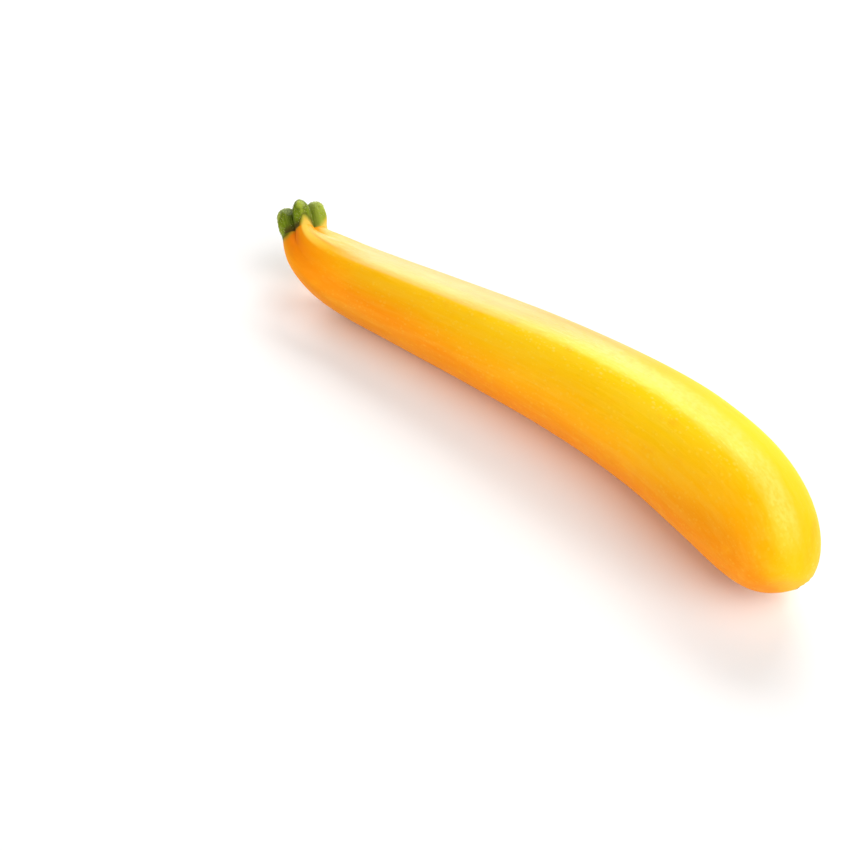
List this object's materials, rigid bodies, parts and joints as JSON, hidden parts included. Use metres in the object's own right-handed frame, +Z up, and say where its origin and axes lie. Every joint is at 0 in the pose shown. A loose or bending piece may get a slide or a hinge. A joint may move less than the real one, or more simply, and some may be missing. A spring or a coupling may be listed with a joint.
{
  "type": "yellow zucchini",
  "caption": "Slender bowed yellow zucchini with a short green stub of stem, lying on its side on a flattened strip of its belly.",
  "frame": {"origin": "centre of the bounding box on the surface the zucchini lies on", "axes": "+X from the stem to the blossom end, +Z up, +Y towards the outside of the bow"},
  "size_m": [0.2174, 0.0446, 0.0376],
  "materials": {
    "skin": "waxy golden-yellow peel, satin sheen, faint ribs and fine pale speckles",
    "stem_skin": "fibrous green stem with deep grooves, pale streaks and a pale cut face"
  },
  "bodies": {
    "root": {"fruit": "skin", "stem": "stem_skin"}
  },
  "joints": []
}
